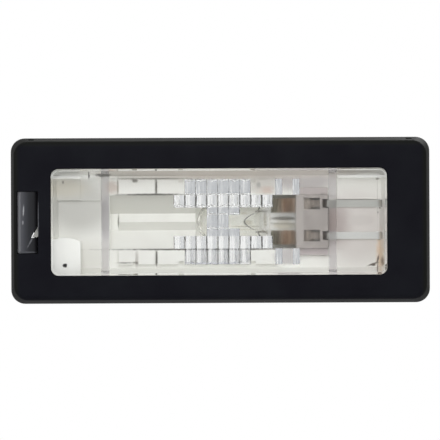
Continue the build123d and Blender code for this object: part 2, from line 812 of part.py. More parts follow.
# Lead wires: from the filament through the wedge, folded back on opposite faces of it
with BuildPart() as bulb_lead_wires:
    for side in (-1, 1):
        face = bulb_height + side * (wedge / 2 + seal_gap + wire / 2)
        turn = wedge_end + wire_fold + wire / 2
        with BuildLine(plan_plane(side * wire_spread)):
            path = Polyline(
                (bulb_tip + wire_end, bulb_height),
                (turn, bulb_height),
                (turn, face),
                (wedge_end - wire_return, face),
            )
        with BuildSketch(section_plane(bulb_tip + wire_end)):
            with Locations((side * wire_spread, bulb_height)):
                Circle(wire / 2)
        sweep(path=path, transition=Transition.RIGHT)

# Filament: bowed between the ends of the lead wires
filament_half = wire_spread - wire / 2 - filament_gap - filament / 2
with BuildPart() as bulb_filament:
    with BuildLine(optic_plane.offset(bulb_height)):
        bow = Polyline(
            (bulb_tip + wire_end, -filament_half),
            (bulb_tip + wire_end - filament_bow, -filament_half / 2),
            (bulb_tip + wire_end - filament_bow, filament_half / 2),
            (bulb_tip + wire_end, filament_half),
        )
    with BuildSketch(Plane(origin=bow @ 0, z_dir=bow % 0)):
        Circle(filament / 2)
    sweep(path=bow, transition=Transition.RIGHT)

pieces = {
    "bezel": bezel,
    "lens": lens,
    "housing": housing,
    "latch_spring": latch_spring,
    "bulb_holder": bulb_holder,
    "upper_contact": upper_contact,
    "lower_contact": lower_contact,
    "bulb_envelope": bulb_envelope,
    "bulb_lead_wires": bulb_lead_wires,
    "bulb_filament": bulb_filament,
}
os.makedirs("parts", exist_ok=True)
for label, piece in pieces.items():
    piece.part.label = label
    export_step(piece.part, f"parts/{label}.step")
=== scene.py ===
import math

import bmesh
import bpy
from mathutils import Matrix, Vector


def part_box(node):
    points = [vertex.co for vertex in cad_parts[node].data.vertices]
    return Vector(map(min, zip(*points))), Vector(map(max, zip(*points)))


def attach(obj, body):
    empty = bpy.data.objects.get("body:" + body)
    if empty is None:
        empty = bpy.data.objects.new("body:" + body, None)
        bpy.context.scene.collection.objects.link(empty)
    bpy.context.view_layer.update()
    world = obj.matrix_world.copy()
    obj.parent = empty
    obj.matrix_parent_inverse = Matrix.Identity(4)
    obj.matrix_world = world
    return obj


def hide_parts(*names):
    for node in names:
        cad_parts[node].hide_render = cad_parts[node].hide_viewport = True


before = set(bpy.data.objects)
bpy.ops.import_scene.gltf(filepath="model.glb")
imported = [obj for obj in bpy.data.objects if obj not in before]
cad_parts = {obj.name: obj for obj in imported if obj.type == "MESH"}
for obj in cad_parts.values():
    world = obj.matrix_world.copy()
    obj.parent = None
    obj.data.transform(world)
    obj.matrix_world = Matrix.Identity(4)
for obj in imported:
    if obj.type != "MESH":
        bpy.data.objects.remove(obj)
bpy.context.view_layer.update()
mm = 0.001
bezelLow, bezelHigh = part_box("bezel")
lensLow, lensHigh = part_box("lens")
opticX = (lensLow.x + lensHigh.x) / 2  # middle of the lens, which everything inside is laid out from
opticZ = (lensLow.z + lensHigh.z) / 2
mixShare, mixUnder, mixOver, mixColour = 0, 6, 7, 2  # a colour mix's inputs and its output, by number
falling = {"To Min": 1.0, "To Max": 0.0}  # for a range that falls as its value rises
print("frame loaded:", ", ".join(sorted(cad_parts)))


def linear(hexColour):  # sRGB hex to linear
    channels = [int(hexColour[i:i + 2], 16) / 255 for i in (1, 3, 5)]
    return [c / 12.92 if c <= 0.04045 else ((c + 0.055) / 1.055) ** 2.4 for c in channels] + [1.0]


def addNode(tree, kind, inputs=None, **settings):
    node = tree.nodes.new(kind)
    for name, value in settings.items():
        setattr(node, name, value)
    for name, value in (inputs or {}).items():
        if isinstance(value, bpy.types.NodeSocket):
            tree.links.new(value, node.inputs[name])
        else:
            node.inputs[name].default_value = value
    return node


def startMaterial(name, surface):  # surface holds the shader's plain values
    material = bpy.data.materials.new(name)
    material.use_nodes = True
    tree = material.node_tree
    shader = tree.nodes["Principled BSDF"]
    for socket, value in surface.items():
        shader.inputs[socket].default_value = value
    place = addNode(tree, "ShaderNodeTexCoord").outputs["Object"]
    return material, tree, shader, place


def fillRamp(ramp, stops):  # each stop is a place from 0 to 1 and a colour
    while len(ramp.elements) < len(stops):
        ramp.elements.new(0.5)
    for element, (position, colour) in zip(ramp.elements, stops):
        element.position = position
        element.color = linear(colour)


def mottle(tree, place, width, low, high):  # soft cloudy variation between two colours
    cloud = {"detail": 4.0, "thin": 0.35, "thick": 0.65}  # noise that gives the low and the high colour
    pattern = {"Vector": place, "Scale": 1 / width, "Detail": cloud["detail"]}
    noise = addNode(tree, "ShaderNodeTexNoise", pattern)
    spread = {"Value": noise.outputs[0], "From Min": cloud["thin"], "From Max": cloud["thick"]}
    share = addNode(tree, "ShaderNodeMapRange", spread)
    colours = {mixShare: share.outputs[0], mixUnder: linear(low), mixOver: linear(high)}
    return addNode(tree, "ShaderNodeMix", colours, data_type="RGBA").outputs[mixColour]


def grain(tree, shader, place, width, depth):  # bump of real depth, drawn coarse enough to show
    bumps = addNode(tree, "ShaderNodeTexNoise", {"Vector": place, "Scale": 1 / width})
    relief = addNode(tree, "ShaderNodeBump", {"Height": bumps.outputs[0], "Distance": depth})
    tree.links.new(relief.outputs[0], shader.inputs["Normal"])


def band(tree, value, middle, half, soft):  # 1 where a value lies in a band, with soft edges
    away = addNode(tree, "ShaderNodeMath", {0: value, 1: middle}, operation="SUBTRACT")
    gap = addNode(tree, "ShaderNodeMath", {0: away.outputs[0]}, operation="ABSOLUTE")
    edges = {"Value": gap.outputs[0], "From Min": half - soft, "From Max": half + soft}
    return addNode(tree, "ShaderNodeMapRange", {**edges, **falling}).outputs[0]


# An oval holds its place right and up of the lens's middle, half width, half height (mm), softness, turn
def ovalShare(tree, place, right, up, halfWidth, halfHeight, soft, turn):  # 1 inside, ragged at its edge
    tear = {"width": 0.7 * mm, "detail": 4.0, "reach": 0.9, "most": 1.2}  # reach in mm, most in half sizes
    spread = {
        "Location": (opticX + right * mm, 0, opticZ + up * mm),
        "Rotation": (0, math.radians(-turn), 0),
        "Scale": (halfWidth * mm, 1, halfHeight * mm),
    }
    local = addNode(tree, "ShaderNodeMapping", {"Vector": place, **spread}, vector_type="TEXTURE")
    reach = addNode(tree, "ShaderNodeVectorMath", {0: local.outputs[0]}, operation="LENGTH")
    fibres = {"Vector": place, "Scale": 1 / tear["width"], "Detail": tear["detail"]}
    edge = addNode(tree, "ShaderNodeTexNoise", fibres)
    small = min(halfWidth, halfHeight)
    ragged = min(tear["most"], tear["reach"] / small)  # small ovals are torn, large ones fade out
    offset = {0: edge.outputs[0], 1: ragged, 2: -ragged / 2}
    torn = addNode(tree, "ShaderNodeMath", offset, operation="MULTIPLY_ADD")
    away = addNode(tree, "ShaderNodeMath", {0: reach.outputs["Value"], 1: torn.outputs[0]}, operation="ADD")
    fade = {"Value": away.outputs[0], "From Min": 1 - soft, "From Max": 1 + soft, **falling}
    return addNode(tree, "ShaderNodeMapRange", fade, interpolation_type="SMOOTHSTEP").outputs[0]


def laySpots(tree, place, under, spots, mask=1.0):  # each spot is a colour and its oval, laid in turn
    for colour, *oval in spots.values():
        inside = ovalShare(tree, place, *oval)
        share = addNode(tree, "ShaderNodeMath", {0: inside, 1: mask}, operation="MULTIPLY")
        layers = {mixShare: share.outputs[0], mixUnder: under, mixOver: linear(colour)}
        under = addNode(tree, "ShaderNodeMix", layers, data_type="RGBA").outputs[mixColour]
    return under


def blackAbs():  # ABS from a spark-eroded mould: near-black satin, fine grained, with a painted highlight paler along the top, the ends and the latch slot's edge
    look = {
        "surface": {"Roughness": 0.48, "Specular IOR Level": 0.05},
        "cloud": (9 * mm, "#111117", "#15161B"),
        "grain": (0.3 * mm, 0.004 * mm),
        "paintedSheen": {"colour": "#191A18", "from": 2.2 * mm, "to": 1.0 * mm},  # painted highlight on the top and ends, in from the outline
        # painted highlight along the latch slot's inner edge
        "spots": {"slotEdgeHighlight": ("#707176", -40.6, 2.0, 0.22, 3.4, 0.6, 1)},
    }
    material, tree, shader, place = startMaterial("blackAbs", look["surface"])
    face = mottle(tree, place, *look["cloud"])
    face = laySpots(tree, place, face, look["spots"])
    axes = addNode(tree, "ShaderNodeSeparateXYZ", {"Vector": place}).outputs
    # how far a point lies past the bezel's ends or top, below zero on the bezel itself
    sideways = addNode(tree, "ShaderNodeMath", {0: axes["X"]}, operation="ABSOLUTE")
    toEnd = addNode(tree, "ShaderNodeMath", {0: sideways.outputs[0], 1: bezelHigh.x}, operation="SUBTRACT")
    toTop = addNode(tree, "ShaderNodeMath", {0: axes["Z"], 1: bezelHigh.z}, operation="SUBTRACT")
    outer = addNode(tree, "ShaderNodeMath", {0: toEnd.outputs[0], 1: toTop.outputs[0]}, operation="MAXIMUM")
    # painted highlight, fading in toward the top and ends
    edge = {"Value": outer.outputs[0], "From Min": -look["paintedSheen"]["from"], "From Max": -look["paintedSheen"]["to"]}
    share = addNode(tree, "ShaderNodeMapRange", edge, interpolation_type="SMOOTHSTEP")
    layers = {mixShare: share.outputs[0], mixUnder: face, mixOver: linear(look["paintedSheen"]["colour"])}
    tint = addNode(tree, "ShaderNodeMix", layers, data_type="RGBA")
    tree.links.new(tint.outputs[mixColour], shader.inputs["Base Color"])
    grain(tree, shader, place, *look["grain"])
    return material


def fluteLines(tree, right, up, flute):  # painted shade as dark lines in the valleys and along a seam, and painted highlights as paler, less clear scallops where the rows end
    start = addNode(tree, "ShaderNodeMath", {0: right, 1: flute["first"]}, operation="SUBTRACT")
    count = addNode(tree, "ShaderNodeMath", {0: start.outputs[0], 1: flute["pitch"]}, operation="DIVIDE")
    fold = addNode(tree, "ShaderNodeMath", {0: count.outputs[0], 1: flute["crest"]}, operation="PINGPONG")
    near = fold.outputs[0]
    crease = {"Value": near, "From Min": flute["sharp"], "From Max": flute["gone"], **falling}
    valley = addNode(tree, "ShaderNodeMapRange", crease).outputs[0]
    seamShade = band(tree, up, *flute["seamShade"])
    dark = addNode(tree, "ShaderNodeMath", {0: valley, 1: seamShade}, operation="MAXIMUM").outputs[0]
    endHighlight = 0.0
    # painted highlight: the rows' ends, bowed into scallops
    for level, bow in flute["ends"]:
        bowed = addNode(tree, "ShaderNodeMath", {0: near, 1: -bow, 2: up}, operation="MULTIPLY_ADD")
        end = band(tree, bowed.outputs[0], level, *flute["endWidth"])
        endHighlight = addNode(tree, "ShaderNodeMath", {0: end, 1: endHighlight}, operation="MAXIMUM").outputs[0]
    return dark, endHighlight


def flowRipples(tree, shader, place, behind, ripple):  # waves all over, drawn streaks behind the plate
    drawn = (1 / ripple["streak"], 1 / ripple["streakLength"], 1 / ripple["streakLength"])
    stretched = addNode(tree, "ShaderNodeMapping", {"Vector": place, "Scale": drawn})
    streaks = addNode(tree, "ShaderNodeTexNoise", {"Vector": stretched.outputs[0], "Scale": 1.0})
    streaked = addNode(tree, "ShaderNodeMath", {0: streaks.outputs[0], 1: behind}, operation="MULTIPLY")
    waves = addNode(tree, "ShaderNodeTexNoise", {"Vector": place, "Scale": 1 / ripple["wave"]})
    total = {0: waves.outputs[0], 1: ripple["waveShare"], 2: streaked.outputs[0]}
    height = addNode(tree, "ShaderNodeMath", total, operation="MULTIPLY_ADD")
    relief = addNode(tree, "ShaderNodeBump", {"Height": height.outputs[0], "Distance": ripple["depth"]})
    tree.links.new(relief.outputs[0], shader.inputs["Normal"])


def clearAcrylic():  # moulded acrylic: water clear with faint flow waves, streaked flutes and frosted ribs, with painted shade and highlights on the flutes and painted light and shade on the ribs
    look = {
        "surface": {"IOR": 1.49},
        "clear": "#F8F9F8",
        "polish": 0.015,  # roughness of the clear plate
        "plate": {"from": 2.1 * mm, "to": 2.3 * mm},  # its back, from the lens's front
        "haze": (18.5, -0.3, 7.2, 6.5, 0.3, 0),  # oval crazed by heat over the bulb's socket
        "hazeRoughness": 0.2,
        "ribs": (25.5 * mm, 0.9 * mm, 0.15 * mm),  # band each side of the middle
        # grey of the ribs, painted shade of the floor under them
        "ribTint": "#C2BFC4",
        "ribFrost": 0.35,
        # painted light and shade of what lies behind the ribs: the holder, the strips and their edges
        "ribLightAndShade": {
            "leftRib": ("#9A979E", -25.5, 0.8, 2.0, 4.4, 0.35, 0),
            "rightTop": ("#D0CDD1", 25.5, 11.0, 2.0, 3.2, 0.4, 0),
            "rightFoot": ("#BEBBC0", 25.5, -10.0, 2.0, 2.4, 0.35, 0),
            "underSocket": ("#CCC8CD", 25.5, -6.6, 2.0, 0.9, 0.3, 0),
            "socketThrough": ("#BDB5B3", 25.5, 0.4, 2.0, 2.6, 0.15, 0),
            "upperStrip": ("#C6C6C4", 25.5, 4.0, 2.0, 1.1, 0.2, 0),
            "lowerStrip": ("#D6D6D6", 25.5, -3.4, 2.0, 1.0, 0.2, 0),
            "upperLine": ("#B1AEB2", 25.5, 5.7, 2.0, 0.25, 0.5, 0),
            "lowerLine": ("#B6B3B7", 25.5, -4.9, 2.0, 0.3, 0.5, 0),
        },
        "rows": (1.0 * mm, 11.2 * mm, 0.1 * mm),  # band that holds the flutes
        # painted shade, blue-grey over the lower row of flutes
        "rowShade": {"lowerRowShade": ("#CDCFD8", -1.0, -7.8, 9.0, 2.0, 0.1, 0)},
        # painted shade in the flute valleys
        "valley": "#A0A2A8",
        "endPass": 0.25,  # share of light that the row ends pass, so they show pale as a painted highlight
        "flute": {
            "first": -10.15 * mm,
            "pitch": 2.47 * mm,
            "crest": 0.5,  # in pitches from a valley, as are the next two
            "sharp": 0.02,
            "gone": 0.06,
            # painted shade line across the flutes at the lower platform's edge
            "seamShade": (-5.95 * mm, 0.12 * mm, 0.06 * mm),
            "endWidth": (0.13 * mm, 0.08 * mm),
            "ends": (  # level of each row's end, and how far its scallops bow up
                (9.45 * mm, -0.5 * mm),
                (6.2 * mm, 0.0),
                (3.4 * mm, 0.7 * mm),
                (1.65 * mm, 0.3 * mm),
                (-1.5 * mm, 0.3 * mm),
                (-9.4 * mm, 0.5 * mm),
            ),
        },
        "ripple": {
            "wave": 1.6 * mm,
            "waveShare": 0.25,
            "streak": 0.45 * mm,
            "streakLength": 4 * mm,
            "depth": 0.024 * mm,
        },
    }
    material, tree, shader, place = startMaterial("clearAcrylic", look["surface"])
    axes = addNode(tree, "ShaderNodeSeparateXYZ", {"Vector": place}).outputs
    right = addNode(tree, "ShaderNodeMath", {0: axes["X"], 1: opticX}, operation="SUBTRACT").outputs[0]
    up = addNode(tree, "ShaderNodeMath", {0: axes["Z"], 1: opticZ}, operation="SUBTRACT").outputs[0]
    # where the ribs and the flutes stand, behind the plate
    back = {"From Min": lensLow.y + look["plate"]["from"], "From Max": lensLow.y + look["plate"]["to"]}
    behind = addNode(tree, "ShaderNodeMapRange", {"Value": axes["Y"], **back}).outputs[0]
    side = addNode(tree, "ShaderNodeMath", {0: right}, operation="ABSOLUTE").outputs[0]
    ribs = band(tree, side, *look["ribs"])
    rib = addNode(tree, "ShaderNodeMath", {0: ribs, 1: behind}, operation="MULTIPLY").outputs[0]
    rows = band(tree, right, *look["rows"])
    fluted = addNode(tree, "ShaderNodeMath", {0: rows, 1: behind}, operation="MULTIPLY").outputs[0]
    dark, endHighlight = fluteLines(tree, right, up, look["flute"])
    lines = addNode(tree, "ShaderNodeMath", {0: dark, 1: fluted}, operation="MULTIPLY").outputs[0]
    ends = addNode(tree, "ShaderNodeMath", {0: endHighlight, 1: fluted}, operation="MULTIPLY").outputs[0]
    passing = addNode(tree, "ShaderNodeMapRange", {"Value": ends, "To Min": 1.0, "To Max": look["endPass"]})
    # tints of the plate and flutes with painted shade, then of the ribs with painted light and shade
    clear = laySpots(tree, place, linear(look["clear"]), look["rowShade"], fluted)
    lined = {mixShare: lines, mixUnder: clear, mixOver: linear(look["valley"])}
    plain = addNode(tree, "ShaderNodeMix", lined, data_type="RGBA").outputs[mixColour]
    ribTint = laySpots(tree, place, linear(look["ribTint"]), look["ribLightAndShade"])
    tints = {mixShare: rib, mixUnder: plain, mixOver: ribTint}
    tint = addNode(tree, "ShaderNodeMix", tints, data_type="RGBA").outputs[mixColour]
    # polished, but rough where it is crazed or frosted
    crazed = ovalShare(tree, place, *look["haze"])
    haze = {"Value": crazed, "To Min": look["polish"], "To Max": look["hazeRoughness"]}
    hazed = addNode(tree, "ShaderNodeMapRange", haze).outputs[0]
    frosted = addNode(tree, "ShaderNodeMapRange", {"Value": rib, "To Max": look["ribFrost"]}).outputs[0]
    rough = addNode(tree, "ShaderNodeMath", {0: hazed, 1: frosted}, operation="MAXIMUM").outputs[0]
    flowRipples(tree, shader, place, behind, look["ripple"])
    tree.links.new(tint, shader.inputs["Base Color"])
    tree.links.new(rough, shader.inputs["Roughness"])
    tree.links.new(passing.outputs[0], shader.inputs["Transmission Weight"])
    return material


def sodaGlass():  # soda-lime glass: clear and wavy where drawn, cloudier and browner where pinched flat, with painted refraction of the wires and the neck
    look = {
        "surface": {"Roughness": 0.0, "IOR": 1.5},
        "cloud": (3 * mm, "#FAFAF7", "#FEFEFD"),
        "waves": (2.2 * mm, 0.03 * mm),
        "pinch": {"from": 9.0 * mm, "to": 12.0 * mm, "pass": 0.6},  # right of the lens's middle
        "spots": {  # painted refraction of the wires and the drawn neck as the glass shows them, and the browner wedge
            "lowerWire": ("#EEECE6", 5.8, -1.1, 3.2, 0.15, 0.5, 0),
            "lowestWire": ("#F2F0EA", 5.0, -1.8, 3.6, 0.13, 0.5, 0),
            "wireLoop": ("#F2F0EA", 6.5, -0.15, 1.0, 0.5, 0.5, 0),
            "upperWire": ("#EEEBE5", 5.6, 1.9, 0.9, 0.16, 0.5, 0),
            "neck": ("#EBE9E3", 10.3, 0.4, 0.35, 1.6, 0.5, 0),
            "neckEdge": ("#F3F1EC", 11.4, 0.0, 0.3, 3.0, 0.5, 0),
            "neckLine": ("#DCD9D0", 10.2, -2.3, 0.75, 0.15, 0.5, -35),
            "wedge": ("#DFDACC", 14.7, -0.9, 2.6, 1.0, 0.4, 0),
            "innerWire": ("#463E2E", 14.7, 0.7, 2.5, 0.4, 0.4, 0),
        },
    }
    material, tree, shader, place = startMaterial("sodaLimeGlass", look["surface"])
    tint = mottle(tree, place, *look["cloud"])
    tint = laySpots(tree, place, tint, look["spots"])
    axes = addNode(tree, "ShaderNodeSeparateXYZ", {"Vector": place}).outputs
    pinch = look["pinch"]
    fade = {"From Min": opticX + pinch["from"], "From Max": opticX + pinch["to"]}
    clear = {"Value": axes["X"], **fade, "To Min": 1.0, "To Max": pinch["pass"]}
    passing = addNode(tree, "ShaderNodeMapRange", clear)
    tree.links.new(tint, shader.inputs["Base Color"])
    tree.links.new(passing.outputs[0], shader.inputs["Transmission Weight"])
    grain(tree, shader, place, *look["waves"])
    return material


def offWhite():  # polyester moulding: matt off-white, darker in the bays, stained and dirty in the corners, with painted shade on down-facing slopes and in seams, gaps and edges, and painted light on the ledges and the lower pad
    look = {
        "surface": {"Roughness": 0.5, "Specular IOR Level": 0.35},
        "cloud": (5 * mm, "#F0EFEA", "#F4F4EF"),
        "grain": (0.3 * mm, 0.004 * mm),
        "downShade": "#C4C3BA",  # painted shade on the slopes that look down
        "down": {"From Min": -0.2, "From Max": -0.9},  # of the surface's direction, as is the next
        "front": {"From Min": -0.1, "From Max": -0.3},
        "open": 2.4 * mm,  # depth where the tray's open side ends
        "floor": -1.5 * mm,  # depth past which the floor tints lie
        "soft": 0.4 * mm,
        # painted shade at the ridge's left end
        "ridgeShade": {"end": ("#A09F98", -22.65, 0.3, 0.18, 1.4, 0.6, 0)},
        # darker tints over the bays' floors and beside the holder and strips
        "floorTints": {
            "leftBay": ("#CAC9C4", -31.2, 3.4, 7.2, 5.8, 0.5, 0),
            "rightBay": ("#D3CDC9", 31.0, -1.5, 7.4, 8.8, 0.5, 0),
            "lowerBay": ("#E7E6E0", -29.0, -8.6, 4.4, 4.0, 0.6, 0),
            "besideSocket": ("#B5AAA7", 26.2, -0.6, 3.0, 4.2, 0.7, 0),
            "besideStrip": ("#CBC5C1", 32.0, 0.2, 2.8, 1.2, 0.3, 0),
            "aboveSocket": ("#D0CBCA", 19.0, 9.4, 6.6, 2.6, 0.4, 0),
        },
        # painted light, brightest white on the lower pad
        "pads": {"paintedLightPad": ("#FCFCF8", -34.4, -6.5, 4.6, 5.2, 0.4, 0)},
        "dirtShadeAndLight": {
            # painted light, lifting the shaded gaps above the pads' ribs
            "leftLedgeLight": ("#FEFEFB", -32.5, 11.3, 7.0, 1.5, 0.3, 0),
            "rightLedgeLight": ("#FEFEFB", 32.0, 11.3, 7.0, 1.5, 0.3, 0),
            "padShade": ("#D2CEC3", -34.4, 7.6, 4.6, 1.9, 0.6, 0),
            "topHaze": ("#E4DDD6", 3.0, 11.6, 30.0, 1.9, 0.4, 0),
            # painted shade along the platforms' seams and in the slits
            "upperSeamShade": ("#6E6C65", -15.2, 6.15, 7.4, 0.24, 0.6, 0),
            "lowerSeamShade": ("#6B6963", -2.5, -6.13, 20.2, 0.24, 0.6, 0),
            "upperGapShade": ("#8F8D88", -14.05, 8.0, 0.2, 1.7, 0.5, 0),
            "lowerGapShade": ("#85837E", -14.05, -8.2, 0.22, 1.7, 0.5, 0),
            "paleGap": ("#C9C5C0", -18.5, -8.3, 0.35, 1.7, 0.6, 0),
            # painted shade at the upper platform's end
            "platformEndShade": ("#B9B3AB", -22.7, 7.8, 0.2, 1.7, 0.6, 0),
            "brownShadowPatch": ("#D6CBC3", -24.1, 7.8, 1.3, 1.4, 0.5, 0),
            # painted shade along the upper platform's top edge
            "topEdgeShade": ("#B0AEA7", -14.5, 9.75, 8.4, 0.16, 0.6, 0),
            "topSmudge": ("#A09D97", -18.9, 9.4, 0.65, 0.4, 0.6, 0),
            # painted shade along the lower platform's foot edge
            "paintedFootEdge": ("#A3A19B", -20.9, -9.15, 1.95, 0.16, 0.6, 0),
            "dampStain": ("#DCC6AF", 36.2, -7.3, 0.75, 4.0, 0.7, 0),
            "stainTop": ("#94826F", 36.15, -3.95, 0.45, 0.25, 0.6, 20),
            "stainSpeck": ("#8F7C69", 36.7, -9.0, 0.3, 0.9, 0.7, 0),
            "crackAcross": ("#61584F", 34.55, -9.65, 1.15, 0.2, 0.6, 18),
            "crackKnot": ("#554C44", 34.7, -9.85, 0.45, 0.22, 0.6, 10),
            "crackUp": ("#6A6057", 35.68, -8.55, 0.19, 0.95, 0.6, -12),
            "crackFoot": ("#8B8178", 35.6, -10.5, 0.15, 1.1, 0.6, -5),
            "wallSmudge": ("#A19E98", 35.6, 9.5, 0.35, 0.2, 0.6, 0),
            "wallSpeck": ("#777169", 36.2, 2.95, 0.22, 0.16, 0.6, 0),
            "wallFleck": ("#777169", 35.7, 1.95, 0.16, 0.22, 0.6, 0),
            "wallLine": ("#C4C1BB", 35.6, 4.0, 0.07, 5.5, 0.6, 0),
            "greyFilm": ("#DAD6D0", 9.9, 7.9, 2.7, 2.0, 0.3, 0),
            "lowerFilm": ("#CBC7C6", 15.3, -7.9, 2.9, 1.7, 0.25, 0),
            "rustSpot": ("#D3C3BA", 10.8, 7.1, 1.3, 0.75, 0.8, 0),
            "blotch": ("#B4B2AD", 8.9, 8.2, 0.45, 0.65, 0.7, 0),
            # painted shade, near black in the pad's pit
            "padPit": ("#1E1B18", -34.55, -9.65, 0.5, 0.45, 0.3, 0),
            "smear": ("#84827E", -26.0, 10.6, 1.7, 0.4, 0.5, 0),
            "tick": ("#83817D", -29.2, 10.5, 0.16, 0.75, 0.5, 0),
            "fleck": ("#9A978F", -35.0, 9.0, 0.22, 0.35, 0.5, 0),
        },
    }
    material, tree, shader, place = startMaterial("offWhitePolyester", look["surface"])
    # masks by depth: the tray's open side, its floor, and what rises above the floor
    depth = addNode(tree, "ShaderNodeSeparateXYZ", {"Vector": place}).outputs["Y"]
    inner = {"Value": depth, "From Min": look["open"], "From Max": look["open"] + look["soft"], **falling}
    tray = addNode(tree, "ShaderNodeMapRange", inner).outputs[0]
    sunk = {"Value": depth, "From Min": look["floor"] - look["soft"], "From Max": look["floor"]}
    low = addNode(tree, "ShaderNodeMapRange", sunk).outputs[0]
    floor = addNode(tree, "ShaderNodeMath", {0: tray, 1: low}, operation="MULTIPLY").outputs[0]
    raised = addNode(tree, "ShaderNodeMath", {0: tray, 1: floor}, operation="SUBTRACT").outputs[0]
    # masks by direction: faces to the front, and those of them that also look down
    normal = addNode(tree, "ShaderNodeNewGeometry").outputs["Normal"]
    facing = addNode(tree, "ShaderNodeSeparateXYZ", {"Vector": normal}).outputs
    down = addNode(tree, "ShaderNodeMapRange", {"Value": facing["Z"], **look["down"]}).outputs[0]
    front = addNode(tree, "ShaderNodeMapRange", {"Value": facing["Y"], **look["front"]}).outputs[0]
    under = addNode(tree, "ShaderNodeMath", {0: down, 1: front}, operation="MULTIPLY").outputs[0]
    # painted shade on the faces that look down
    downShade = {mixShare: under, mixUnder: mottle(tree, place, *look["cloud"]), mixOver: linear(look["downShade"])}
    colour = addNode(tree, "ShaderNodeMix", downShade, data_type="RGBA").outputs[mixColour]
    for spots, mask in (("ridgeShade", front), ("floorTints", floor), ("pads", raised), ("dirtShadeAndLight", tray)):
        colour = laySpots(tree, place, colour, look[spots], mask)
    tree.links.new(colour, shader.inputs["Base Color"])
    grain(tree, shader, place, *look["grain"])
    return material


def blackAcetal():  # polished acetal: black and glossy, with a painted sheen pale along its outer bend and painted highlights in fine lines
    look = {
        "surface": {"Roughness": 0.35, "Specular IOR Level": 0.2},
        "grain": (0.8 * mm, 0.006 * mm),
        "crest": {"left": -45.1 * mm, "right": -41.0 * mm},  # from the lens's middle
        # painted sheen: pale along the outer bend, darkening across the crest
        "paintedSheen": (
            (0.0, "#8E8F94"),
            (0.08, "#7C7D82"),
            (0.2, "#4C4D52"),
            (0.4, "#393A3F"),
            (0.62, "#27282C"),
            (1.0, "#161619"),
        ),
        "leg": {"colour": "#141417", "from": 1.6 * mm, "to": 3.0 * mm},  # behind the crest, without the painted sheen
        # painted highlights: glints and pale edge lines
        "spots": {
            "upperGlint": ("#96979B", -43.75, 2.65, 0.14, 1.05, 0.6, -3),
            "lowerGlint": ("#7C7D82", -43.9, 0.0, 0.15, 0.4, 0.6, 0),
            "lowerEdgeHighlight": ("#5A5B60", -42.2, -4.3, 0.15, 1.4, 0.6, -28),
            "paintedFootEdge": ("#4C4D52", -43.0, -6.65, 2.2, 0.14, 0.6, 0),
        },
    }
    material, tree, shader, place = startMaterial("blackAcetal", look["surface"])
    crest, leg = look["crest"], look["leg"]
    axes = addNode(tree, "ShaderNodeSeparateXYZ", {"Vector": place}).outputs
    span = {"Value": axes["X"], "From Min": opticX + crest["left"], "From Max": opticX + crest["right"]}
    across = addNode(tree, "ShaderNodeMapRange", span)
    paintedSheen = addNode(tree, "ShaderNodeValToRGB", {"Fac": across.outputs[0]})
    fillRamp(paintedSheen.color_ramp, look["paintedSheen"])
    depth = {"Value": axes["Y"], "From Min": bezelLow.y + leg["from"], "From Max": bezelLow.y + leg["to"]}
    behind = addNode(tree, "ShaderNodeMapRange", depth)
    layers = {mixShare: behind.outputs[0], mixUnder: paintedSheen.outputs[0], mixOver: linear(leg["colour"])}
    tint = addNode(tree, "ShaderNodeMix", layers, data_type="RGBA").outputs[mixColour]
    tint = laySpots(tree, place, tint, look["spots"])
    tree.links.new(tint, shader.inputs["Base Color"])
    grain(tree, shader, place, *look["grain"])
    return material


def lavenderPolyamide():  # natural polyamide tinted lavender grey, paler along its inner edge, with painted light on its top and foot bars
    look = {
        "surface": {"Roughness": 0.45},
        "cloud": (2.5 * mm, "#968F8B", "#A49C98"),
        "grain": (0.3 * mm, 0.006 * mm),
        "spots": {
            "inner": ("#A9A29E", 18.1, 0.0, 0.9, 9.0, 0.3, 0),
            # painted light on the top and foot bars, which lie in shade
            "top": ("#C2B9B7", 21.0, 7.0, 4.6, 1.0, 0.3, 0),
            "foot": ("#C2B8B8", 21.0, -6.9, 4.6, 1.0, 0.3, 0),
        },
    }
    material, tree, shader, place = startMaterial("lavenderPolyamide", look["surface"])
    tint = mottle(tree, place, *look["cloud"])
    tint = laySpots(tree, place, tint, look["spots"])
    tree.links.new(tint, shader.inputs["Base Color"])
    grain(tree, shader, place, *look["grain"])
    return material


